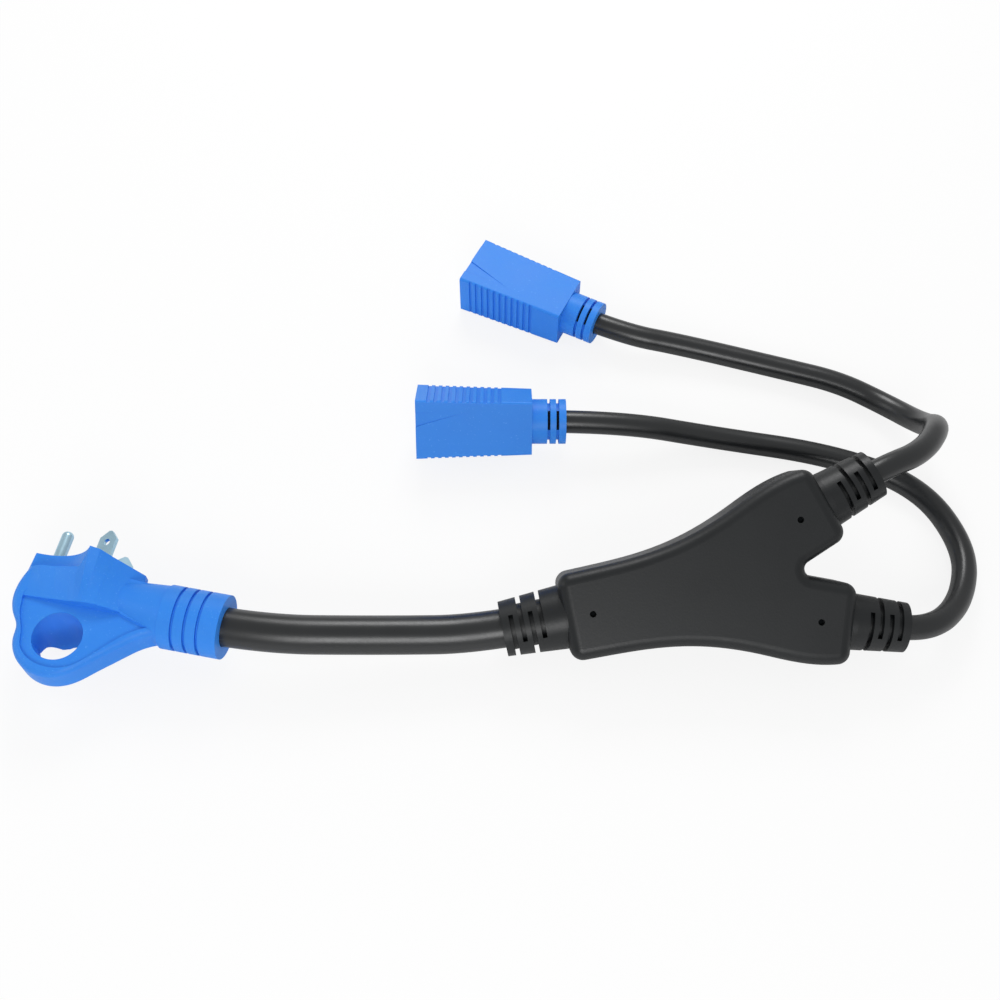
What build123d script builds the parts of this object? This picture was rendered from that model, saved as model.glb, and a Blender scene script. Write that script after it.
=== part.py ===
from build123d import *
import os
from math import cos, radians, sin

os.makedirs("parts", exist_ok=True)

# Layout, in millimetres on one table grid. CENTRE is the middle of the rigid pieces.
CENTRE_X, CENTRE_Y = -16.245, 316.833
PLUG_AT, PLUG_HEADING = (-112.0, 223.8, 22.4), -11.2
BOX_AT, BOX_HEADING, BOX_TILT = (27.2, 230.0, 20.69), 11.5, 30.0
CONN_A_AT, CONN_A_HEADING, CONN_A_ROLL = (47.4, 390.4, 11.9), 153.2, 0.0
CONN_B_AT, CONN_B_HEADING, CONN_B_ROLL = (30.0, 329.4, 18.02), 180.0, 233.0
# Corners of the free cords between the straight pieces that leave each strain relief.
MAIN_CORNERS = [(-51.8, 222.2, 18.6)]
BRANCH_A_CORNERS = [(180.5, 294.8, 47), (193.5, 314.4, 37.5), (195.2, 327.6, 17), (181.5, 348, 5.5),
                    (161.3, 358.9, 7.5), (136.4, 367.8, 5.8), (88, 380.5, 8)]
BRANCH_B_CORNERS = [(199, 242, 10), (207, 270, 5.5), (191.5, 302.5, 5.5), (152, 319.5, 5.5),
                    (100, 328.6, 5.5)]
MAIN_RADII = [90, 200, 90]
BRANCH_A_RADII = [28, 30, 28, 26, 27, 60, 90, 90, 60]
BRANCH_B_RADII = [25, 30, 34, 42, 90, 90, 80]

# Cords and conductors.
MAIN_D, BRANCH_D, CORD_CLEAR = 16.5, 10.6, 0.1
TRUNK_WIRE_D, BRANCH_WIRE_D = 4.2, 3.0
TRUNK_LANE, BRANCH_LANE = 4.7, 3.2
WIRE_LEAD, WIRE_BEND = 2.0, 4.0

# Plug, measured from the free end of its sleeve (x back to the cord is positive).
PLUG_BOOT_L, PLUG_BOOT_D, PLUG_BOOT_END, PLUG_BORE_L = 27.0, 28.0, -1.8, 24.0
FACE_Y, HEAD_BACK_Y, SCALLOP_Y = 15.5, -5.0, 8.5
HEAD_FACE = [(-90, 4), (-86, 10.6), (-78, 12.4), (-66, 17.7), (-60.5, 22.4), (-56.5, 20.8), (-52, 14.6),
             (-46, 7.4), (-41.5, 2)]
HEAD_BACK = [(-91, 4.0), (-88, 7.2), (-79, 7.9), (-67, 9.5), (-60.5, 11.2), (-55, 11.6), (-50, 10),
             (-45, 8), (-38, 4)]
SCALLOP_X, SCALLOP_Z, SCALLOP_R = -87.0, 34.2, 29.0
RING_X, RING_Y, RING_THICK, RING_EDGE, RING_DROP = -66.5, -19.5, 15.0, 3.2, 12.5
PLATE_CURVE = [(-88, 11), (-91, 3), (-91.4, -6), (-88.6, -13), (-85.3, -18), (-84.6, -23), (-82, -29.5),
               (-75.5, -35.2), (-66.5, -37.3), (-57.8, -34.6), (-50, -28), (-42, -20.8), (-35, -14.8), (-27, -11)]
DISH_CURVE = [(-86, -8), (-85.5, -1), (-81, 3.2), (-73, 4), (-64, 1.8), (-48, -4), (-31, -9.2)]
DISH_BACK = [(-31, -9.2), (-42, -17), (-51, -26.5), (-58.5, -32.4), (-66.5, -33.6), (-74, -31.6),
             (-79.6, -26.5), (-81.4, -20.5), (-83.8, -15.5), (-86, -8)]
DISH_DEEP = 1.2
FINGER_D = 21.0
BLADE_X, BLADE_Z, BLADE_W, BLADE_T, BLADE_OUT, BLADE_TURN = -58.3, 12.0, 8.4, 1.7, 12.8, 20.0
BLADE_HOLE, PIN_X, PIN_D, PIN_ROOT_D, PIN_OUT = 3.0, -81.5, 5.2, 6.2, 14.5
BRIDGE_Y, BRIDGE_T = 9.0, 5.0
ROOM_X0, ROOM_X1, ROOM_Y0, ROOM_Z = -58.5, -24.0, -1.8, 7.0
LANE_X0, LANE_Z, LANE_Y = -77.5, 2.7, 0.6

# Y box, measured from the end of its trunk.
BOX_THICK, BOX_EDGE, BOX_CORNER, CROTCH_R = 30.0, 5.0, 5.4, 3.2
BOX_SIDE = [(-1, 18.1), (21, 18.6), (38, 19.8), (54, 22.8), (75.4, 30.4), (82, 33.4), (110, 41.0)]
ARM_INNER = (120, 10.2)
CROTCH_X = 94.5
ARM_X, ARM_Y, ARM_ANGLE, ARM_BORE_L = 116.5, 25.8, 18.0, 30.0
TRUNK_RELIEF_L, TRUNK_RELIEF_D0, TRUNK_RELIEF_D1 = 26.5, 27.2, 23.2
RELIEF_L, ARM_RELIEF_D0, ARM_RELIEF_D1, RELIEF_COLLAR = 22.8, 23.9, 20.9, 3.3
RELIEF_SLOTS, SLOT_PITCH, SLOT_W, SLOT_DEEP, SOCKET_DEEP = 4, 4.1, 1.9, 2.3, 3.0
BOX_ROOM = [(8, 11), (50, 15), (89, 22)]
BOX_ROOM_Z = 9.0
SPLICE_X0, SPLICE_L, SPLICE_D, SPLICE_PITCH = 38.0, 15.0, 8.0, 9.0
PIN_HOLES = [(11, 0), (101.5, 20.8), (101.5, -21.8)]
PIN_HOLE_D = 2.7

# Connector, measured from the free end of its sleeve towards the contact face.
CONN_BOOT_L, CONN_BOOT_D, CONN_L = 15.5, 20.5, 52.5
CONN_W, CONN_H, CONN_TAPER, CONN_CORNER = 28.4, 23.8, 0.89, 1.2
CONN_NECK_D, CONN_NECK_L = 13.8, 5.5
RIB_COUNT, RIB_PITCH, RIB_FRONT, RIB_W, RIB_DEEP = 11, 3.2, 5.0, 1.6, 0.8
STRIP_W, WEDGE_W, WEDGE_L, EDGE_STRIP_W, EDGE_STRIP_UP = 5.5, 7.4, 24.0, 5.3, 0.3
RING_SLOTS, RING_W, RING_DEEP = 2, 1.3, 1.9
INSERT_W, INSERT_H, INSERT_L, INSERT_WALL = 21.6, 17.0, 26.0, 4.0
SLOT_APART, SLOT_HOT_H, SLOT_NEUTRAL_H, BLADE_SLOT_W = 12.7, 7.0, 8.6, 2.2
SLOT_Y, GROUND_Y, GROUND_D, GROUND_WALL, BARREL_GAP, BARREL_T = 3.4, -4.0, 5.6, 11.0, 0.3, 0.6
CONTACT_L, CONTACT_GAP, LEAF_T = 14.0, 1.4, 0.8
WIRE_NAMES = ["hot", "neutral", "ground"]


def seat(at, x_dir, z_dir):
    return Plane(origin=(at[0] - CENTRE_X, at[1] - CENTRE_Y, at[2]), x_dir=x_dir, z_dir=z_dir)


def across(frame, x, y=0.0, z=0.0):
    """Plane square to a frame's x axis: its sketch x is the frame's y, its sketch y the frame's z."""
    return Plane(origin=frame.from_local_coords((x, y, z)), x_dir=frame.y_dir, z_dir=frame.x_dir)


def along_y(frame, y):
    """Plane square to a frame's y axis: sketch x is the frame's x, sketch y the frame's -z."""
    return Plane(origin=frame.from_local_coords((0, y, 0)), x_dir=frame.x_dir, z_dir=frame.y_dir)


def level(frame, z):
    return Plane(origin=frame.from_local_coords((0, 0, z)), x_dir=frame.x_dir, z_dir=frame.z_dir)


def spot(frame, x, y=0.0, z=0.0):
    return Vector(*frame.from_local_coords((x, y, z)))


def heading(angle, roll=0.0):
    """x and z directions of a piece turned by angle on the table and rolled towards the viewer."""
    a, r = radians(angle), radians(roll)
    side = (sin(a), -cos(a), 0) if cos(a) > 0 else (-sin(a), cos(a), 0)
    return (cos(a), sin(a), 0), (side[0] * sin(r), side[1] * sin(r), cos(r))


def grid(points):
    return [Vector(x - CENTRE_X, y - CENTRE_Y, z) for x, y, z in points]


def tube(points, radii, diameter):
    """Round bar along straight runs joined by tangent arcs."""
    with BuildLine() as path:
        FilletPolyline(*points, radius=radii) if len(points) > 2 else Line(*points)
    start = Plane(origin=path.line @ 0, z_dir=path.line % 0)
    with BuildSketch(start) as section:
        Circle(diameter / 2)
    sweep(sections=section.sketch, path=path.line, transition=Transition.ROUND)
    return sum(edge.length for edge in path.edges())


def wire(p0, d0, p1, d1):
    """Points of a conductor that leaves p0 along d0 and arrives at p1 along d1."""
    return [p0, p0 + d0 * WIRE_LEAD, p1 - d1 * WIRE_LEAD, p1]


plug = seat(PLUG_AT, *heading(PLUG_HEADING))
t, k = radians(BOX_TILT), radians(BOX_HEADING)
box = seat(BOX_AT, (cos(k), sin(k) * cos(t), sin(k) * sin(t)), (0, -sin(t), cos(t)))
conn = {"a": seat(CONN_A_AT, *heading(CONN_A_HEADING, CONN_A_ROLL)),
        "b": seat(CONN_B_AT, *heading(CONN_B_HEADING, CONN_B_ROLL))}
arm = {}
for side, sign in (("a", 1), ("b", -1)):
    turn = radians(ARM_ANGLE) * sign
    out = box.x_dir * cos(turn) + box.y_dir * sin(turn)
    end = spot(box, ARM_X, ARM_Y * sign)
    arm[side] = Plane(origin=end, x_dir=out, z_dir=box.z_dir)

# Main cord: from inside the plug to inside the trunk of the Y box.
main_points = [spot(plug, -PLUG_BORE_L), spot(plug, 10), *grid(MAIN_CORNERS),
               spot(box, -TRUNK_RELIEF_L - 5), spot(box, BOX_ROOM[0][0] + 3)]
with BuildPart() as main_cord:
    main_length = tube(main_points, MAIN_RADII, MAIN_D)
main_cord.part.label = "main_cord"
export_step(main_cord.part, "parts/main_cord.step")
print("main cord", round(main_length, 1), "radii", MAIN_RADII)

# Branch cords: from inside each arm of the Y box to inside each connector.
CORNERS = {"a": BRANCH_A_CORNERS, "b": BRANCH_B_CORNERS}
RADII = {"a": BRANCH_A_RADII, "b": BRANCH_B_RADII}
OUT_OF_ARM = {"a": 5.0, "b": 11.4}
INTO_CONN = {"a": 14.0, "b": 24.0}
CORD_IN = 12.0
for side in ("a", "b"):
    points = [spot(arm[side], -ARM_BORE_L - 1), spot(arm[side], RELIEF_L + OUT_OF_ARM[side]),
              *grid(CORNERS[side]), spot(conn[side], -INTO_CONN[side]), spot(conn[side], CORD_IN)]
    with BuildPart() as branch:
        length = tube(points, RADII[side], BRANCH_D)
    branch.part.label = "branch_cord_" + side
    export_step(branch.part, "parts/branch_cord_" + side + ".step")
    print("branch cord", side, round(length, 1), "radii", RADII[side],
          [tuple(round(v, 2) for v in p) for p in points])
print("main points", [tuple(round(v, 2) for v in p) for p in main_points])

# Plug grip: face block, ring handle, neck and ribbed sleeve in one moulding.
face_points = HEAD_FACE + [(x, -z) for x, z in reversed(HEAD_FACE)]
back_points = HEAD_BACK + [(x, -z) for x, z in reversed(HEAD_BACK)]
BRIDGE = [(-85.8, 4.3), (-77, 4.5), (-70, 8), (-64.5, 12), (-59, 14.4), (-54.2, 14.7), (-51.5, 11.5),
          (-47, 5)]
bridge_points = BRIDGE + [(x, -z) for x, z in reversed(BRIDGE)]
with BuildPart() as plug_grip:
    # Flat handle plate with a rounded rim, notched where the ring leaves the head.
    with BuildSketch(level(plug, -RING_THICK / 2)):
        with BuildLine():
            rim = Spline(*PLATE_CURVE)
            Polyline(rim @ 1, (-25, 9), (-50, 11), rim @ 0)
        make_face()
    extrude(amount=RING_THICK)
    caps = plug_grip.faces().filter_by(Plane(origin=plug.origin, z_dir=plug.z_dir))
    fillet(caps.edges().filter_by(GeomType.BSPLINE), RING_EDGE)
    for side in (1, -1):
        with BuildSketch(level(plug, side * (RING_THICK / 2 - DISH_DEEP))):
            with BuildLine():
                Spline(*DISH_CURVE)
                Spline(*DISH_BACK)
            make_face()
        extrude(amount=side * 2 * DISH_DEEP, mode=Mode.SUBTRACT)
    # Head that swells from the plate to the face, with a scallop on each side of the ground pin.
    with BuildSketch(along_y(plug, FACE_Y)):
        with BuildLine():
            Polyline(*face_points, close=True)
        make_face()
    with BuildSketch(along_y(plug, HEAD_BACK_Y)):
        with BuildLine():
            Polyline(*back_points, close=True)
        make_face()
    loft(ruled=True)
    with BuildSketch(along_y(plug, SCALLOP_Y)):
        with Locations((SCALLOP_X, SCALLOP_Z), (SCALLOP_X, -SCALLOP_Z)):
            Circle(SCALLOP_R)
    extrude(amount=FACE_Y, mode=Mode.SUBTRACT)
    with BuildSketch(across(plug, -60)):
        with Locations((4, 0)):
            RectangleRounded(14, 13, 6)
    with BuildSketch(across(plug, -PLUG_BOOT_L)):
        RectangleRounded(25.5, 25.5, 12)
    loft()
    with BuildSketch(across(plug, -PLUG_BOOT_L)):
        Circle(PLUG_BOOT_D / 2 - 0.5)
    extrude(amount=PLUG_BOOT_L + PLUG_BOOT_END)
    # Grooves round the sleeve.
    for i in range(3):
        with BuildSketch(across(plug, -9.3 - 5.4 * i)):
            Circle(PLUG_BOOT_D / 2 + 1)
            Circle(PLUG_BOOT_D / 2 - 2, mode=Mode.SUBTRACT)
        extrude(amount=-1.3, mode=Mode.SUBTRACT)
    # Skirt under the plate that carries the far wall of the finger hole down, then the hole.
    with BuildSketch(level(plug, -RING_THICK / 2 - RING_DROP)):
        with Locations((RING_X - 1, RING_Y + FINGER_D / 2 + 3)):
            RectangleRounded(23, 12, 4)
    with BuildSketch(level(plug, 0)):
        with Locations((RING_X, RING_Y + FINGER_D / 2 + 2)):
            RectangleRounded(30, 16, 6)
    loft()
    with BuildSketch(level(plug, -25)):
        with Locations((RING_X, RING_Y)):
            Circle(FINGER_D / 2)
    extrude(amount=50, mode=Mode.SUBTRACT)
    # Cord bore, conductor room and the pocket of the contact bridge.
    with BuildSketch(across(plug, -PLUG_BORE_L - 0.5)):
        Circle(MAIN_D / 2 + CORD_CLEAR)
    extrude(amount=PLUG_BORE_L + 2, mode=Mode.SUBTRACT)
    with BuildSketch(along_y(plug, ROOM_Y0)):
        with Locations(((ROOM_X0 + ROOM_X1) / 2, 0)):
            Rectangle(ROOM_X1 - ROOM_X0, 2 * ROOM_Z)
        with Locations(((LANE_X0 + ROOM_X0 + 1) / 2, 0)):
            Rectangle(ROOM_X0 + 1 - LANE_X0, 2 * LANE_Z)
    extrude(amount=BRIDGE_Y - ROOM_Y0, mode=Mode.SUBTRACT)
    with BuildSketch(along_y(plug, BRIDGE_Y)):
        with BuildLine():
            Polyline(*bridge_points, close=True)
        make_face()
    extrude(amount=BRIDGE_T, mode=Mode.SUBTRACT)
    # Passages for the two blades and the ground pin.
    with BuildSketch(along_y(plug, BRIDGE_Y)):
        for z in (1, -1):
            with Locations(Location((BLADE_X, BLADE_Z * z, 0), (0, 0, BLADE_TURN * z))):
                Rectangle(BLADE_W, BLADE_T)
        with Locations((PIN_X, 0)):
            Circle(PIN_ROOT_D / 2)
    extrude(amount=20, mode=Mode.SUBTRACT)
plug_grip.part.label = "plug_grip"
export_step(plug_grip.part, "parts/plug_grip.step")

# Contact bridge: the rigid block that holds the blades and the ground pin.
with BuildPart() as plug_bridge:
    with BuildSketch(along_y(plug, BRIDGE_Y)):
        with BuildLine():
            Polyline(*bridge_points, close=True)
        make_face()
    extrude(amount=BRIDGE_T)
    with BuildSketch(along_y(plug, BRIDGE_Y - 1)):
        for z in (1, -1):
            with Locations(Location((BLADE_X, BLADE_Z * z, 0), (0, 0, BLADE_TURN * z))):
                Rectangle(BLADE_W, BLADE_T)
        with Locations((PIN_X, 0)):
            Circle(PIN_ROOT_D / 2)
    extrude(amount=BRIDGE_T + 2, mode=Mode.SUBTRACT)
plug_bridge.part.label = "plug_bridge"
export_step(plug_bridge.part, "parts/plug_bridge.step")

# Flat blades with a hole near the chamfered tip.
for name, z in (("hot", -1), ("neutral", 1)):
    blade_seat = Plane(origin=spot(plug, BLADE_X, 0, BLADE_Z * -z),
                       x_dir=(plug.x_dir * cos(radians(BLADE_TURN)) - plug.z_dir * z * sin(radians(BLADE_TURN))),
                       z_dir=(plug.x_dir * z * sin(radians(BLADE_TURN)) + plug.z_dir * cos(radians(BLADE_TURN))))
    tip = FACE_Y + BLADE_OUT
    with BuildPart() as blade:
        with BuildSketch(level(blade_seat, -BLADE_T / 2)):
            with BuildLine():
                Polyline((-BLADE_W / 2, BRIDGE_Y), (-BLADE_W / 2, tip - 3.5), (-BLADE_W / 2 + 3.5, tip),
                         (BLADE_W / 2 - 3.5, tip), (BLADE_W / 2, tip - 3.5), (BLADE_W / 2, BRIDGE_Y),
                         close=True)
            make_face()
            with Locations((0, tip - 5.5)):
                Circle(BLADE_HOLE / 2, mode=Mode.SUBTRACT)
        extrude(amount=BLADE_T)
    blade.part.label = "plug_blade_" + name
    export_step(blade.part, "parts/plug_blade_" + name + ".step")

# Round ground pin with a domed tip.
with BuildPart() as ground_pin:
    with BuildSketch(along_y(plug, BRIDGE_Y)):
        with Locations((PIN_X, 0)):
            Circle(PIN_ROOT_D / 2)
    extrude(amount=FACE_Y - BRIDGE_Y)
    with BuildSketch(along_y(plug, FACE_Y)):
        with Locations((PIN_X, 0)):
            Circle(PIN_D / 2)
    extrude(amount=PIN_OUT)
    fillet(ground_pin.edges().filter_by(GeomType.CIRCLE).sort_by(Axis(plug.origin, plug.y_dir))[-1], PIN_D / 2 - 0.2)
ground_pin.part.label = "plug_ground_pin"
export_step(ground_pin.part, "parts/plug_ground_pin.step")

# Conductors from the main cord to the backs of the blades and the pin.
ends = {"hot": (-54.5, -TRUNK_LANE), "neutral": (-54.5, TRUNK_LANE), "ground": (-74.0, 0)}
for i, name in enumerate(WIRE_NAMES):
    lane = TRUNK_LANE * (-1, 1, 0)[i]
    x, z = ends[name]
    p1 = spot(plug, x, BRIDGE_Y, z)
    p0 = spot(plug, -PLUG_BORE_L, LANE_Y, lane)
    with BuildPart() as plug_wire:
        tube([p0, spot(plug, x, LANE_Y, z), p1], WIRE_BEND, TRUNK_WIRE_D)
    plug_wire.part.label = "plug_wire_" + name
    export_step(plug_wire.part, "parts/plug_wire_" + name + ".step")

# Y box: soft-edged overmould with a room for the splices.
room = BOX_ROOM + [(x, -y) for x, y in reversed(BOX_ROOM)]
with BuildPart() as y_box:
    with BuildSketch(level(box, -BOX_THICK / 2)) as plan:
        with BuildLine():
            near = Spline(*[(x, -y) for x, y in BOX_SIDE])
            far = Spline(*BOX_SIDE)
            Line(near @ 0, far @ 0)
            Polyline(far @ 1, ARM_INNER, (CROTCH_X, 0), (ARM_INNER[0], -ARM_INNER[1]), near @ 1)
        make_face()
        corners = plan.vertices().sort_by(Axis.X)
        fillet(corners[:2] + corners[3:], BOX_CORNER)
        fillet(plan.vertices().sort_by_distance((CROTCH_X, 0))[0], CROTCH_R)
    extrude(amount=BOX_THICK)
    caps = y_box.faces().filter_by(Plane(origin=box.origin, z_dir=box.z_dir))
    fillet(caps.edges(), BOX_EDGE)
    with BuildSketch(level(box, -BOX_ROOM_Z)):
        with BuildLine():
            Polyline(*room, close=True)
        make_face()
    extrude(amount=2 * BOX_ROOM_Z, mode=Mode.SUBTRACT)
    with BuildSketch(across(box, -1)):
        Circle(MAIN_D / 2 + CORD_CLEAR)
    extrude(amount=BOX_ROOM[0][0] + 2, mode=Mode.SUBTRACT)
    with BuildSketch(across(box, -10)):
        Circle(TRUNK_RELIEF_D0 / 2)
    extrude(amount=10 + SOCKET_DEEP, mode=Mode.SUBTRACT)
    for side in ("a", "b"):
        with BuildSketch(across(arm[side], -ARM_BORE_L - 2)):
            Circle(BRANCH_D / 2 + CORD_CLEAR)
        extrude(amount=ARM_BORE_L + 4, mode=Mode.SUBTRACT)
        with BuildSketch(across(arm[side], -SOCKET_DEEP)):
            Circle(ARM_RELIEF_D0 / 2)
        extrude(amount=SOCKET_DEEP + 12, mode=Mode.SUBTRACT)
    with BuildSketch(level(box, BOX_THICK / 2 + 1)):
        with Locations(*PIN_HOLES):
            Circle(PIN_HOLE_D / 2)
    extrude(amount=-3, mode=Mode.SUBTRACT)
y_box.part.label = "y_box"
export_step(y_box.part, "parts/y_box.step")

# Slotted strain reliefs that flex with the cord where it leaves the box.
trunk_seat = Plane(origin=box.origin, x_dir=-box.x_dir, z_dir=box.z_dir)
reliefs = {"trunk": (trunk_seat, TRUNK_RELIEF_L, TRUNK_RELIEF_D0, TRUNK_RELIEF_D1, MAIN_D),
           "a": (arm["a"], RELIEF_L, ARM_RELIEF_D0, ARM_RELIEF_D1, BRANCH_D),
           "b": (arm["b"], RELIEF_L, ARM_RELIEF_D0, ARM_RELIEF_D1, BRANCH_D)}
for side, (frame, relief_l, d0, d1, cord_d) in reliefs.items():
    with BuildPart() as relief:
        with BuildSketch(across(frame, -SOCKET_DEEP)):
            Circle(d0 / 2)
        extrude(amount=SOCKET_DEEP + 0.5)
        with BuildSketch(across(frame, 0)):
            Circle(d0 / 2)
        with BuildSketch(across(frame, relief_l)):
            Circle(d1 / 2)
        loft()
        for i in range(RELIEF_SLOTS):
            x = relief_l - RELIEF_COLLAR - SLOT_PITCH * (RELIEF_SLOTS - 1 - i)
            up = 1 if i % 2 else -1
            with BuildSketch(across(frame, x)):
                Circle(d0)
                Circle(d1 / 2 - SLOT_DEEP, mode=Mode.SUBTRACT)
                with Locations((-up * 0.72 * d0, 0)):
                    Rectangle(d0, 3 * d0, mode=Mode.SUBTRACT)
            extrude(amount=-SLOT_W, mode=Mode.SUBTRACT)
        with BuildSketch(across(frame, -SOCKET_DEEP - 1)):
            Circle(cord_d / 2 + CORD_CLEAR)
        extrude(amount=relief_l + SOCKET_DEEP + 2, mode=Mode.SUBTRACT)
    relief.part.label = "strain_relief_" + side
    export_step(relief.part, "parts/strain_relief_" + side + ".step")

# Splices in the box: one trunk conductor to two branch conductors each.
for i, name in enumerate(WIRE_NAMES):
    y = SPLICE_PITCH * (1, 0, -1)[i]
    with BuildPart() as splice:
        with BuildSketch(across(box, SPLICE_X0, y)):
            Circle(SPLICE_D / 2)
        extrude(amount=SPLICE_L)
    splice.part.label = "splice_" + name
    export_step(splice.part, "parts/splice_" + name + ".step")
    p0 = spot(box, BOX_ROOM[0][0] + 3, TRUNK_LANE * (1, 0, -1)[i])
    p1 = spot(box, SPLICE_X0, y)
    with BuildPart() as trunk_wire:
        tube([p0, p1] if y == 0 else wire(p0, box.x_dir, p1, box.x_dir), WIRE_BEND, TRUNK_WIRE_D)
    trunk_wire.part.label = "trunk_wire_" + name
    export_step(trunk_wire.part, "parts/trunk_wire_" + name + ".step")
    for side, z in (("a", 1.9), ("b", -1.9)):
        p1 = spot(arm[side], -ARM_BORE_L - 1, BRANCH_LANE * (1, 0, -1)[i], z)
        p0 = spot(box, SPLICE_X0 + SPLICE_L, y, z)
        with BuildPart() as branch_wire:
            tube(wire(p0, box.x_dir, p1, arm[side].x_dir), WIRE_BEND, BRANCH_WIRE_D)
        branch_wire.part.label = "arm_" + side + "_wire_" + name
        export_step(branch_wire.part, "parts/arm_" + side + "_wire_" + name + ".step")

# Female connectors: ribbed moulding, contact insert, three contacts and three conductors each.
front = CONN_BOOT_L + CONN_L
rear_w, rear_h = CONN_W * CONN_TAPER, CONN_H * CONN_TAPER
insert_x = front - INSERT_L
slots = {"hot": (-SLOT_APART / 2, SLOT_HOT_H), "neutral": (SLOT_APART / 2, SLOT_NEUTRAL_H)}
for side in ("a", "b"):
    frame = conn[side]
    with BuildPart() as shell:
        with BuildSketch(across(frame, CONN_BOOT_L)):
            RectangleRounded(rear_w, rear_h, CONN_CORNER)
        with BuildSketch(across(frame, front)):
            RectangleRounded(CONN_W, CONN_H, CONN_CORNER)
        loft()
        with BuildSketch(across(frame, 0)):
            Circle(CONN_BOOT_D / 2)
        extrude(amount=CONN_BOOT_L)
        for i in range(RIB_COUNT):
            x = front - RIB_FRONT - RIB_PITCH * i
            for way in (1, -1):
                half_w = (rear_w + (CONN_W - rear_w) * (x - CONN_BOOT_L) / CONN_L) / 2
                with BuildSketch(across(frame, x, way * half_w)):
                    Rectangle(2 * RIB_DEEP, CONN_H + 4)
                extrude(amount=-RIB_W, mode=Mode.SUBTRACT)
        for i in range(RING_SLOTS):
            with BuildSketch(across(frame, 3.2 + 4.0 * i)):
                Circle(CONN_BOOT_D / 2 + 1)
                Circle(CONN_BOOT_D / 2 - RING_DEEP, mode=Mode.SUBTRACT)
            extrude(amount=RING_W, mode=Mode.SUBTRACT)
        # Shallow wedge and edge strip on both broad faces, fading out towards the cord.
        apex_z = (rear_h + (CONN_H - rear_h) * (CONN_L - WEDGE_L) / CONN_L) / 2
        inner = CONN_W / 2 - STRIP_W
        for way in (1, -1):
            with BuildSketch(level(frame, way * apex_z)):
                with BuildLine():
                    Polyline((front + 1, inner), (front - WEDGE_L, inner), (front + 1, inner - WEDGE_W), close=True)
                make_face()
            extrude(amount=way * 2, mode=Mode.SUBTRACT)
            with BuildSketch(level(frame, way * (apex_z + EDGE_STRIP_UP))):
                with Locations((front - CONN_L / 2, EDGE_STRIP_W / 2 - CONN_W / 2 - 1)):
                    Rectangle(CONN_L + 2, EDGE_STRIP_W + 2)
            extrude(amount=way * 2, mode=Mode.SUBTRACT)
        with BuildSketch(across(frame, -1)):
            Circle(BRANCH_D / 2 + CORD_CLEAR)
        extrude(amount=CORD_IN + 2, mode=Mode.SUBTRACT)
        with BuildSketch(across(frame, CORD_IN + 0.5)):
            Circle(CONN_NECK_D / 2)
        extrude(amount=CONN_NECK_L, mode=Mode.SUBTRACT)
        with BuildSketch(across(frame, CORD_IN + CONN_NECK_L)):
            Rectangle(INSERT_W - 5, INSERT_H - 2)
        extrude(amount=insert_x - CORD_IN - CONN_NECK_L + 0.5, mode=Mode.SUBTRACT)
        with BuildSketch(across(frame, insert_x)):
            Rectangle(INSERT_W, INSERT_H)
        extrude(amount=INSERT_L + 1, mode=Mode.SUBTRACT)
    shell.part.label = "connector_" + side + "_shell"
    export_step(shell.part, "parts/connector_" + side + "_shell.step")

    with BuildPart() as insert:
        with BuildSketch(across(frame, insert_x)):
            Rectangle(INSERT_W, INSERT_H)
        extrude(amount=INSERT_L)
        with BuildSketch(across(frame, insert_x - 1)):
            for y, h in slots.values():
                with Locations((y, SLOT_Y)):
                    Rectangle(BLADE_SLOT_W, h)
            with Locations((0, GROUND_Y)):
                Circle(GROUND_D / 2)
        extrude(amount=INSERT_L + 2, mode=Mode.SUBTRACT)
        with BuildSketch(across(frame, insert_x - 1)):
            for y, h in slots.values():
                with Locations((y, SLOT_Y)):
                    Rectangle(5.2, h + 0.6)
        extrude(amount=INSERT_L - INSERT_WALL + 1, mode=Mode.SUBTRACT)
        with BuildSketch(across(frame, insert_x - 1)):
            with Locations((0, GROUND_Y)):
                Circle(GROUND_D / 2 + BARREL_GAP + BARREL_T)
        extrude(amount=INSERT_L - GROUND_WALL + 1, mode=Mode.SUBTRACT)
    insert.part.label = "connector_" + side + "_insert"
    export_step(insert.part, "parts/connector_" + side + "_insert.step")

    leads = {}
    for name, (y, h) in slots.items():
        with BuildPart() as contact:
            with BuildSketch(level(frame, SLOT_Y - h / 2 + 0.3)) as fork:
                with Locations((insert_x + 1 + CONTACT_L / 2, y)):
                    Rectangle(CONTACT_L, 2 * LEAF_T + CONTACT_GAP)
                with Locations((insert_x + 3 + CONTACT_L / 2, y)):
                    Rectangle(CONTACT_L, CONTACT_GAP, mode=Mode.SUBTRACT)
            extrude(amount=h - 0.6)
        contact.part.label = "connector_" + side + "_contact_" + name
        export_step(contact.part, "parts/connector_" + side + "_contact_" + name + ".step")
        leads[name] = (insert_x + 1, y, SLOT_Y)
    with BuildPart() as barrel:
        with BuildSketch(across(frame, insert_x + 1)):
            with Locations((0, GROUND_Y)):
                Circle(GROUND_D / 2 + BARREL_GAP + BARREL_T)
        extrude(amount=CONTACT_L)
        with BuildSketch(across(frame, insert_x + 3)):
            with Locations((0, GROUND_Y)):
                Circle(GROUND_D / 2 + BARREL_GAP)
        extrude(amount=CONTACT_L, mode=Mode.SUBTRACT)
    barrel.part.label = "connector_" + side + "_contact_ground"
    export_step(barrel.part, "parts/connector_" + side + "_contact_ground.step")
    leads["ground"] = (insert_x + 1, 0, GROUND_Y)

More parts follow.
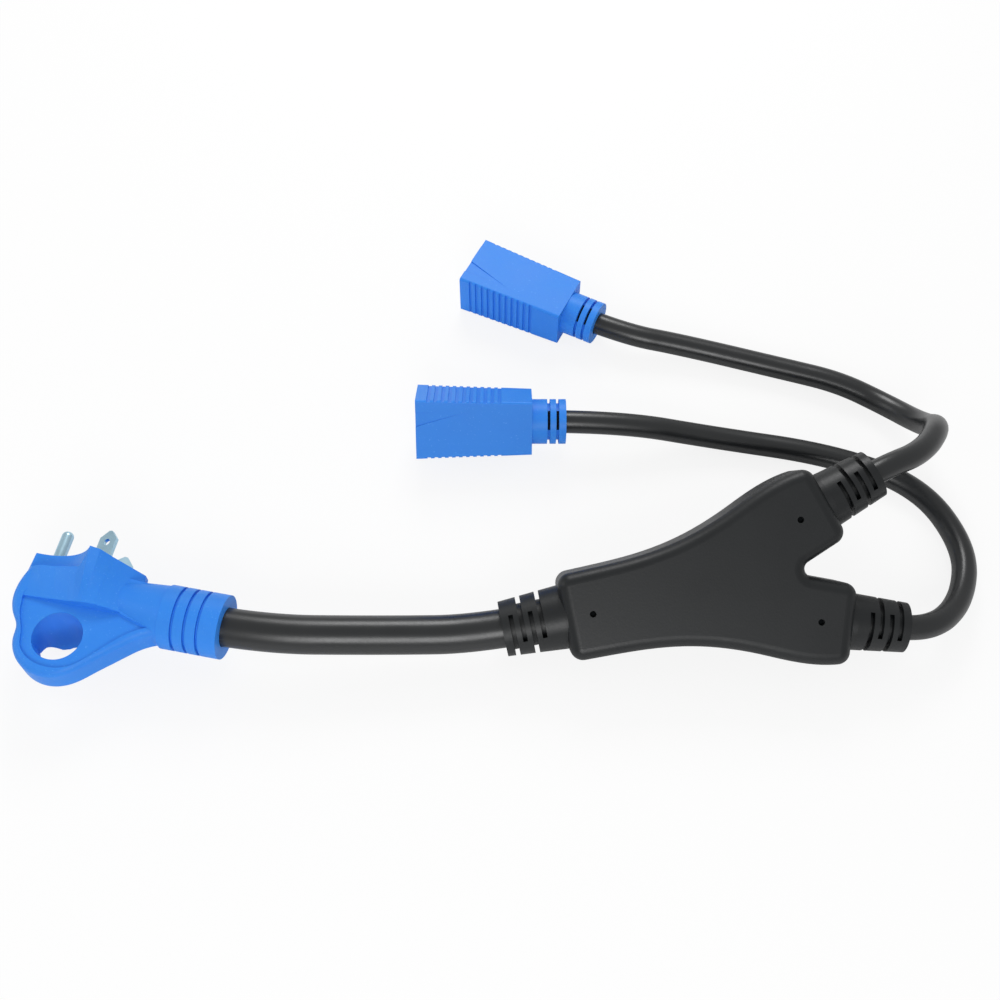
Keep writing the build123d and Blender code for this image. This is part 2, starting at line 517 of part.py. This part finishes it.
    starts = {"hot": (-3.2, 1.4), "neutral": (3.2, 1.4), "ground": (0, -3.2)}
    for name, (y, z) in starts.items():
        with BuildPart() as lead:
            tube(wire(spot(frame, CORD_IN, y, z), frame.x_dir, spot(frame, *leads[name]), frame.x_dir),
                 WIRE_BEND, BRANCH_WIRE_D)
        lead.part.label = "connector_" + side + "_wire_" + name
        export_step(lead.part, "parts/connector_" + side + "_wire_" + name + ".step")
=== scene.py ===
import bmesh
import bpy
import numpy as np
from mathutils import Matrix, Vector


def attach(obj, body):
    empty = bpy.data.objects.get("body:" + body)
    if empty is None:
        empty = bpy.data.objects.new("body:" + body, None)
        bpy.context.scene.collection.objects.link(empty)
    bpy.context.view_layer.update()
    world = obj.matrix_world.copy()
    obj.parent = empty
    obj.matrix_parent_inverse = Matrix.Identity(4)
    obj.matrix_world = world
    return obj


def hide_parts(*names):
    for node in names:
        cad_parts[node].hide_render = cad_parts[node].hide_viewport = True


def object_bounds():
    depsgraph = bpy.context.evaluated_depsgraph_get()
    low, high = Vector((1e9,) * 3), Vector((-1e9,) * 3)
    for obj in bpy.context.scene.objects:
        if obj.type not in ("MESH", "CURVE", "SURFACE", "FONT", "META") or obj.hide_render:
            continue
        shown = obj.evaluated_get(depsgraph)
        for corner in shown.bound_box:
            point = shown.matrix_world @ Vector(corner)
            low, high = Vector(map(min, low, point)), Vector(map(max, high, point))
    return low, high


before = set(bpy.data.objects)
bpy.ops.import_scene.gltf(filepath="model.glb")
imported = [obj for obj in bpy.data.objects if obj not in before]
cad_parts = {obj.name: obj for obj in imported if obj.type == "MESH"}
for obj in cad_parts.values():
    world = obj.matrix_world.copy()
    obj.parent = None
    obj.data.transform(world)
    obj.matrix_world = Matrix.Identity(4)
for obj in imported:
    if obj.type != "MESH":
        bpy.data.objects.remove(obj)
cad_box = [list(map(float, corner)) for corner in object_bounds()]

# Camera and studio.
# The set lies on a pale table and is seen from the front at 60 degrees, about 0.6 m off. Table and
# backdrop show white to the camera, and the table keeps a faint shadow.
view = bpy.data.cameras.new("camera")
view.sensor_width, view.lens, view.clip_start = 36.0, 46.8, 0.01
camera = bpy.data.objects.new("camera", view)
camera.location = (0.01625, -0.31683, 0.5165)
camera.rotation_euler = (np.radians(30), 0, 0)
bpy.context.scene.collection.objects.link(camera)
bpy.context.scene.camera = camera


class Shade:
    """One socket of a node tree. Arithmetic on it adds Math nodes; node() adds any other node."""

    def __init__(self, tree, socket=None):
        self.tree, self.socket = tree, socket

    def node(self, kind, settings=None, inputs=None, out=0):
        """Adds a node, gives it its settings and then its inputs, and returns one of its outputs."""
        made = self.tree.nodes.new(kind)
        for name, value in (settings or {}).items():
            setattr(made, name, value)
        for name, value in (inputs or {}).items():
            socket = made.inputs[name]
            if isinstance(value, Shade):
                self.tree.links.new(value.socket, socket)
            else:
                socket.default_value = value
        return Shade(self.tree, made.outputs[out])

    def maths(self, operation, *values):
        return self.node("ShaderNodeMath", {"operation": operation}, dict(enumerate(values)))

    def __add__(self, other):
        return self.maths("ADD", self, other)

    def __mul__(self, other):
        return self.maths("MULTIPLY", self, other)

    __radd__, __rmul__ = __add__, __mul__


def finish(name, colour, **sockets):
    """A new material with a Principled shader; sockets hold constants. Returns it with its tree's Shade."""
    material = bpy.data.materials.new(name)
    material.use_nodes = True
    material.diffuse_color = (*colour, 1)
    shader = material.node_tree.nodes["Principled BSDF"]
    shader.inputs["Base Color"].default_value = (*colour, 1)
    for socket, value in sockets.items():
        shader.inputs[socket.replace("_", " ")].default_value = value
    return material, Shade(material.node_tree), shader


white = (1, 1, 1, 1)
table_glow, table_reach, table_gap, tent_strength = 0.85, 6.0, 0.0002, 0.55
table, pen, shader = finish("table_top", (0.9, 0.9, 0.9), Roughness=0.9)
seen = pen.node("ShaderNodeLightPath", out="Is Camera Ray")
glow = pen.node("ShaderNodeEmission", {}, {"Color": white, "Strength": 1.0})
plain = Shade(pen.tree, shader.outputs[0])
blend = pen.node("ShaderNodeMixShader", {}, {0: seen * table_glow, 1: plain, 2: glow})
pen.tree.links.new(blend.socket, table.node_tree.nodes["Material Output"].inputs["Surface"])
ground = bpy.data.meshes.new("table_top")
corners = [(-table_reach, -table_reach, 0), (table_reach, -table_reach, 0), (table_reach, table_reach, 0),
           (-table_reach, table_reach, 0)]
ground.from_pydata(corners, [], [(0, 1, 2, 3)])
floor = bpy.data.objects.new("table_top", ground)
floor.data.materials.append(table)
floor.location.z = cad_box[0][2] - table_gap
bpy.context.scene.collection.objects.link(floor)

bpy.context.scene.view_settings.view_transform = "Standard"
sky = bpy.data.worlds.new("studio")
sky.use_nodes = True
tent = sky.node_tree.nodes["Background"]
tent.inputs["Color"].default_value, tent.inputs["Strength"].default_value = white, tent_strength
pen = Shade(sky.node_tree)
backdrop = pen.node("ShaderNodeBackground", {}, {"Color": white, "Strength": 1.0})
seen = pen.node("ShaderNodeLightPath", out="Is Camera Ray")
both = pen.node("ShaderNodeMixShader", {}, {0: seen, 1: Shade(pen.tree, tent.outputs[0]), 2: backdrop})
pen.tree.links.new(both.socket, sky.node_tree.nodes["World Output"].inputs["Surface"])
bpy.context.scene.world = sky
# name, place, size, power: a soft box behind and above, a weak fill on the left, a soft box in front
lamps = [("top_box", (0.05, 0.6, 0.62), 0.35, 2.9), ("left_box", (-0.8, 0.0, 0.45), 0.4, 0.8),
         ("front_box", (0.0, -0.82, 0.55), 0.4, 3.2)]
for name, place, size, power in lamps:
    light = bpy.data.lights.new(name, "AREA")
    light.shape, light.size, light.energy = "SQUARE", size, power
    lamp = bpy.data.objects.new(name, light)
    lamp.location = place
    away = np.array(place) / np.linalg.norm(place)
    lamp.rotation_euler = (np.arccos(away[2]), 0, np.arctan2(away[1], away[0]) + np.pi / 2)
    bpy.context.scene.collection.objects.link(lamp)

# Cords.
# Round PVC-jacketed cord: one thick trunk cord and two slimmer branch cords, each in one piece from
# boot to boot. The jacket has a fine grain over a faint slow swell. Each route runs nearly straight
# through the boots that hold it.


def noise(pen, scale, detail):
    """Noise in object coordinates, so that it is fixed to the piece."""
    place = pen.node("ShaderNodeTexCoord", out="Object")
    return pen.node("ShaderNodeTexNoise", {}, {"Vector": place, "Scale": scale, "Detail": detail})


def bump(pen, strength, distance, height):
    return pen.node("ShaderNodeBump", {}, {"Strength": strength, "Distance": distance, "Height": height})


def feed(pen, shader, **sockets):
    """Links each Shade to the shader's socket of that name."""
    for socket, value in sockets.items():
        pen.tree.links.new(value.socket, shader.inputs[socket.replace("_", " ")])


cord_jacket, pen, shader = finish("cord_jacket", (0.0085, 0.0098, 0.011), Roughness=0.32,
                                  Specular_IOR_Level=0.6)
grain, swell = noise(pen, 900.0, 3.0), noise(pen, 60.0, 2.0)
feed(pen, shader, Roughness=grain * 0.1 + swell * 0.14 + 0.2,
     Normal=bump(pen, 0.12, 0.0006, swell * 0.8 + grain * 0.2))

main_route = [(-0.1193, -0.08837, 0.0224), (-0.08602, -0.09592, 0.02275), (-0.03555, -0.09463, 0.0186),
              (0.01258, -0.09313, 0.01671), (0.05422, -0.08493, 0.02179)]
branch_a_route = [(0.12548, -0.05804, 0.03731), (0.15632, -0.04293, 0.04603), (0.17666, -0.03297, 0.05179),
                  (0.19675, -0.02203, 0.047), (0.20975, -0.00243, 0.0375), (0.21144, 0.01077, 0.017),
                  (0.19775, 0.03117, 0.0055), (0.17755, 0.04207, 0.0075), (0.15265, 0.05097, 0.0058),
                  (0.10425, 0.06367, 0.008), (0.07614, 0.06725, 0.0119), (0.05293, 0.07898, 0.0119)]
branch_b_route = [(0.13195, -0.08557, 0.02142), (0.1705, -0.08938, 0.01922), (0.19673, -0.09197, 0.01773),
                  (0.21525, -0.07483, 0.01), (0.22325, -0.04683, 0.0055), (0.20775, -0.01433, 0.0055),
                  (0.16825, 0.00267, 0.0055), (0.11625, 0.01177, 0.0055), (0.07025, 0.01257, 0.01802),
                  (0.03425, 0.01257, 0.01802)]
main_diameter, branch_diameter = 0.0165, 0.0106
# name, diameter, route, length
cords = [("main_cord", main_diameter, main_route, 0.1751),
         ("branch_cord_a", branch_diameter, branch_a_route, 0.3098),
         ("branch_cord_b", branch_diameter, branch_b_route, 0.3316)]
for name, diameter, route, length in cords:
    line = bpy.data.curves.new(name + "_line", "CURVE")
    line.dimensions, line.resolution_u, line.bevel_resolution = "3D", 24, 10
    line.bevel_depth, line.use_fill_caps = diameter / 2, True
    spline = line.splines.new("NURBS")
    spline.points.add(len(route) - 1)
    spline.points.foreach_set("co", np.column_stack([route, np.ones(len(route))]).ravel())
    spline.order_u, spline.use_endpoint_u = 3, True
    cord = bpy.data.objects.new(name + "_jacket", line)
    cord.data.materials.append(cord_jacket)
    bpy.context.scene.collection.objects.link(cord)
    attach(cord, "root")
    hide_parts(name)

# Blue mouldings.
# The plug grip and both connector bodies are moulded in flexible blue PVC with a fine satin skin.
# The tone drifts a little over each piece, and a few fine specks are paler.


def tones(pen, factor, low, high):
    """A colour that goes from low to high with the factor; each is red, green, blue or another Shade."""
    low, high = (colour if isinstance(colour, Shade) else (*colour, 1) for colour in (low, high))
    colour_output = 2
    return pen.node("ShaderNodeMix", {"data_type": "RGBA"}, {"Factor": factor, "A": low, "B": high},
                    colour_output)


def dress(material, *words):
    """Gives the material to every CAD node whose name holds one of the words."""
    for name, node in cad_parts.items():
        if any(word in name for word in words):
            for slot in node.material_slots:
                slot.material = material


blue, pen, shader = finish("blue_pvc", (0.045, 0.255, 0.86), Roughness=0.42, Specular_IOR_Level=0.22,
                           Subsurface_Weight=0.12, Subsurface_Radius=(0.2, 0.5, 1.0), Subsurface_Scale=0.002)
skin, cloud = noise(pen, 1400.0, 2.0), noise(pen, 55.0, 3.0)
speck = pen.node("ShaderNodeMapRange", {}, {"Value": noise(pen, 1100.0, 2.0), "From Min": 0.66,
                                            "From Max": 0.74, "To Min": 0.0, "To Max": 0.5})
tone = tones(pen, cloud, (0.028, 0.225, 0.78), (0.042, 0.265, 0.84))
tone = tones(pen, speck, tone, (0.12, 0.40, 0.95))
feed(pen, shader, Base_Color=tone, Roughness=skin * 0.1 + cloud * 0.16 + 0.3,
     Normal=bump(pen, 0.12, 0.0003, skin * 0.6 + cloud * 0.4))
dress(blue, "plug_grip", "_shell")

# Contact bridge.
# The bridge inside the plug holds its blades and pin apart. It is moulded in the same blue in a harder,
# glossier grade.
bridge, pen, shader = finish("bridge_nylon", (0.03, 0.16, 0.6), Roughness=0.3)
feed(pen, shader, Roughness=noise(pen, 200.0, 3.0) * 0.2 + 0.2)
dress(bridge, "plug_bridge")

# Black mouldings.
# The Y box and its slotted strain reliefs are black PVC moulded round the cords, with a fine matt
# spark-eroded skin and faint flow marks.
black, pen, shader = finish("black_pvc", (0.016, 0.018, 0.02), Roughness=0.5, Specular_IOR_Level=0.4)
skin, cloud = noise(pen, 1200.0, 2.0), noise(pen, 32.0, 4.0)
feed(pen, shader, Base_Color=tones(pen, cloud, (0.005, 0.0062, 0.0072), (0.0085, 0.0102, 0.0115)),
     Roughness=skin * 0.12 + cloud * 0.2 + 0.26, Normal=bump(pen, 0.15, 0.0003, skin * 0.7 + cloud * 0.3))
dress(black, "y_box", "strain_relief")

# Finger ring collar.
# The grip's moulded skin runs on below the ring plate as a curved wall behind the finger hole, deep at
# the back, where it draws in, and rising to the left. It is the same blue PVC, sunk in the plate above.


def closed_piece(name, points, faces, material):
    """One closed mesh on the root body, with doubled points welded, faces turned outward and edges sharp."""
    weld, sharp_angle = 1e-6, np.radians(40)
    mesh = bpy.data.meshes.new(name)
    mesh.from_pydata(points.reshape(-1, 3).tolist(), [], faces)
    shape = bmesh.new()
    shape.from_mesh(mesh)
    bmesh.ops.remove_doubles(shape, verts=shape.verts, dist=weld)
    bmesh.ops.recalc_face_normals(shape, faces=shape.faces)
    shape.to_mesh(mesh)
    shape.free()
    mesh.shade_smooth()
    mesh.set_sharp_from_angle(angle=sharp_angle)
    mesh.materials.append(material)
    piece = bpy.data.objects.new(name, mesh)
    bpy.context.scene.collection.objects.link(piece)
    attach(piece, "root")
    return piece


def bent_band(name, centre, ahead, side, axis, angles, radii, heights, material):
    """A closed section carried round an arc: a point is centre + r (cos a ahead + sin a side) + t axis.
    radii and heights hold r and t of each corner of the section, which may change with the angle a."""
    corners = np.shape(radii)[-1]
    radii = np.broadcast_to(radii, (len(angles), corners))
    heights = np.broadcast_to(heights, (len(angles), corners))
    spoke = np.cos(angles)[:, None] * np.array(ahead) + np.sin(angles)[:, None] * np.array(side)
    points = np.array(centre) + radii[:, :, None] * spoke[:, None] + heights[:, :, None] * np.array(axis)
    step = corners * np.arange(len(angles) - 1)[:, None]
    here = np.arange(corners)[None, :]
    after = (here + 1) % corners
    walls = np.stack([step + here, step + after, step + corners + after, step + corners + here], axis=2)
    last = corners * (len(angles) - 1)
    ends = [list(range(corners)), list(range(last, last + corners))]
    return closed_piece(name, points, walls.reshape(-1, 4).tolist() + ends, material)


hole_centre, hole_radius = (-0.164776, -0.099246, 0.0224), 0.0104
collar_wall, collar_top, collar_knee, collar_lip = 0.0012, 0.0062, -0.0105, 0.0005
# The wall starts on the right, passes the back at 90 degrees and ends on the left.
degrees = np.linspace(30, 190, 81)
bottom = np.interp(degrees, [140, 165, 190], [-0.0205, -0.0120, -0.0073])
throat = np.interp(degrees, [120, 134, 155], [0.0064, 0.0074, hole_radius])
knee = np.maximum(collar_knee, bottom + collar_lip)
level, across = np.full_like(bottom, collar_top), np.full_like(bottom, hole_radius)
inside, outside = [across, across, throat], [throat + collar_wall, across + collar_wall, across + collar_wall]
collar = bent_band("finger_ring_collar", hole_centre, (1, 0, 0), (0, 1, 0), (0, 0, 1), np.radians(degrees),
                   np.stack(inside + outside, axis=1),
                   np.stack([level, knee, bottom, bottom, knee, level], axis=1), blue)

# Boot slots.
# Each connector's boot has two ring grooves, slotted through on two opposite sides to the black cord.
# Here a thin dark strip laid in the groove stands for each slot: the black cord seen through it, with
# painted shade.
# A very dark, matt black: the black of the cord and of the box, darkened further as painted shade.
painted_shade_black, pen, shader = finish("painted_shade_black", (0.004, 0.005, 0.006), Roughness=0.9, Specular_IOR_Level=0.1)
feed(pen, shader, Roughness=noise(pen, 800.0, 2.0) * 0.1 + 0.85)
groove_places, groove_width, groove_floor = (0.0032, 0.0072), 0.0013, 0.00835
strip_reach, strip_stops, strip_gap, strip_sunk, strip_proud = 30, 25, 0.0001, 0.0003, 0.0002
floor_r, top_r = groove_floor - strip_sunk, groove_floor + strip_proud
# letter, origin of the boot, directions along it, to its side and up, middle of the first slot in degrees
boots = [("a", (0.063645, 0.073567, 0.0119), (-0.8926, 0.4509, 0), (-0.4509, -0.8926, 0), (0, 0, 1), 65),
         ("b", (0.046245, 0.012567, 0.01802), (-1, 0, 0), (0, 0.6018, 0.7986), (0, 0.7986, -0.6018), -67)]
for letter, origin, along, side, up, facing in boots:
    for groove, start in enumerate(groove_places):
        near, far = start + strip_gap, start + groove_width - strip_gap
        for half, middle in enumerate((facing, facing + 180)):
            arc = np.radians(np.linspace(middle - strip_reach, middle + strip_reach, strip_stops))
            strip = bent_band(f"boot_slot_{letter}_{groove + 1}_{half + 1}", origin, side, up, along, arc,
                              (floor_r, top_r, top_r, floor_r), (near, near, far, far), painted_shade_black)

# Pin hole shade.
# The mould's locating pins leave three blind round holes in the face of the Y box. A dark, slightly
# domed disc on the floor of each is painted shade in the hole.
box_origin, box_along = np.array([0.043445, -0.086833, 0.02069]), np.array([0.97992, 0.17266, 0.09968])
box_up = np.array([0, -0.5, 0.86603])
box_side = np.cross(box_up, box_along)
hole_shade_places = [(0.011, 0), (0.1015, 0.0208), (0.1015, -0.0218)]
hole_shade_radius, hole_shade_floor, hole_shade_rim, hole_shade_dome = 0.0013, 0.01295, 0.0001, 0.0003
dome_rings, dome_turns = 6, 24
# The profile runs from the pole of the dome out to its rim and back under it to the axis.
dome = np.linspace(0, hole_shade_radius, dome_rings)
out = np.append(dome, [hole_shade_radius, 0])
top = hole_shade_floor + hole_shade_rim + hole_shade_dome * (1 - (dome / hole_shade_radius) ** 2)
lift = np.append(top, [hole_shade_floor, hole_shade_floor])
turns = np.linspace(0, 2 * np.pi, dome_turns, endpoint=False)
ray = np.cos(turns)[:, None] * box_along + np.sin(turns)[:, None] * box_side
turned = out[None, :, None] * ray[:, None] + lift[None, :, None] * box_up
here, ring = np.arange(len(out) - 1)[None, :], np.arange(dome_turns)[:, None]
first, beside = ring * len(out) + here, (ring + 1) % dome_turns * len(out) + here
quads = np.stack([first, first + 1, beside + 1, beside], axis=2).reshape(-1, 4).tolist()
# Each disc paints the shade on the floor of one hole.
for number, (ahead, aside) in enumerate(hole_shade_places):
    middle = box_origin + ahead * box_along + aside * box_side
    hole_shade = closed_piece(f"pin_hole_shade_{number + 1}", middle + turned, quads, painted_shade_black)

# Plug metal.
# Blades and ground pin are folded and turned brass with a nickel plate, finely mottled and a little
# duller in soft patches. Their colour is tinted blue, a painted reflection of the blue grip round them.
nickel, pen, shader = finish("nickel_plate", (0.60, 0.66, 0.70), Roughness=0.32, Metallic=1.0)
mottle, haze = noise(pen, 700.0, 4.0), noise(pen, 120.0, 2.0)
# Both tones hold the blue tint, a painted reflection of the blue grip.
feed(pen, shader, Base_Color=tones(pen, haze, (0.38, 0.60, 0.74), (0.52, 0.73, 0.84)),
     Roughness=mottle * 0.15 + haze * 0.2 + 0.16, Normal=bump(pen, 0.1, 0.0002, mottle))
dress(nickel, "plug_blade", "plug_ground_pin")

# Connector fronts.
# The insert that carries the contacts fills each connector's mouth, with the slots in its face. It is
# pale nylon, smooth from the mould.
carrier, pen, shader = finish("carrier_nylon", (0.74, 0.80, 0.84), Roughness=0.3, Subsurface_Weight=0.2,
                              Subsurface_Scale=0.002)
cloud = noise(pen, 90.0, 3.0)
feed(pen, shader, Base_Color=tones(pen, cloud, (0.68, 0.76, 0.81), (0.78, 0.83, 0.86)),
     Roughness=cloud * 0.2 + 0.2)
dress(carrier, "_insert")

# Spring contacts.
# Each connector holds three contacts of stamped brass strip, rolled bright and slightly tarnished. They
# sit in the insert behind its slots.
brass, pen, shader = finish("spring_brass", (0.72, 0.53, 0.24), Roughness=0.3, Metallic=1.0)
haze = noise(pen, 260.0, 4.0)
feed(pen, shader, Base_Color=tones(pen, haze, (0.60, 0.41, 0.17), (0.80, 0.61, 0.30)),
     Roughness=haze * 0.3 + 0.15)
dress(brass, "_contact_")

# Conductors and splices.
# Conductors in black, white and green insulation run through the mouldings. Each splice in the Y box is
# a shrunk sleeve.
# finish, word in the names of its nodes, low and high tone
insulation = [("hot", "wire_hot", (0.012, 0.012, 0.013), (0.022, 0.022, 0.023)),
              ("neutral", "wire_neutral", (0.70, 0.70, 0.67), (0.82, 0.82, 0.80)),
              ("ground", "wire_ground", (0.012, 0.20, 0.06), (0.025, 0.28, 0.09)),
              ("splice", "splice_", (0.020, 0.020, 0.022), (0.035, 0.035, 0.038))]
for name, word, low, high in insulation:
    sleeve, pen, shader = finish("insulation_" + name, high, Roughness=0.35)
    lay = noise(pen, 300.0, 2.0)
    feed(pen, shader, Base_Color=tones(pen, lay, low, high), Roughness=lay * 0.2 + 0.25,
         Normal=bump(pen, 0.2, 0.0003, lay))
    dress(sleeve, word)
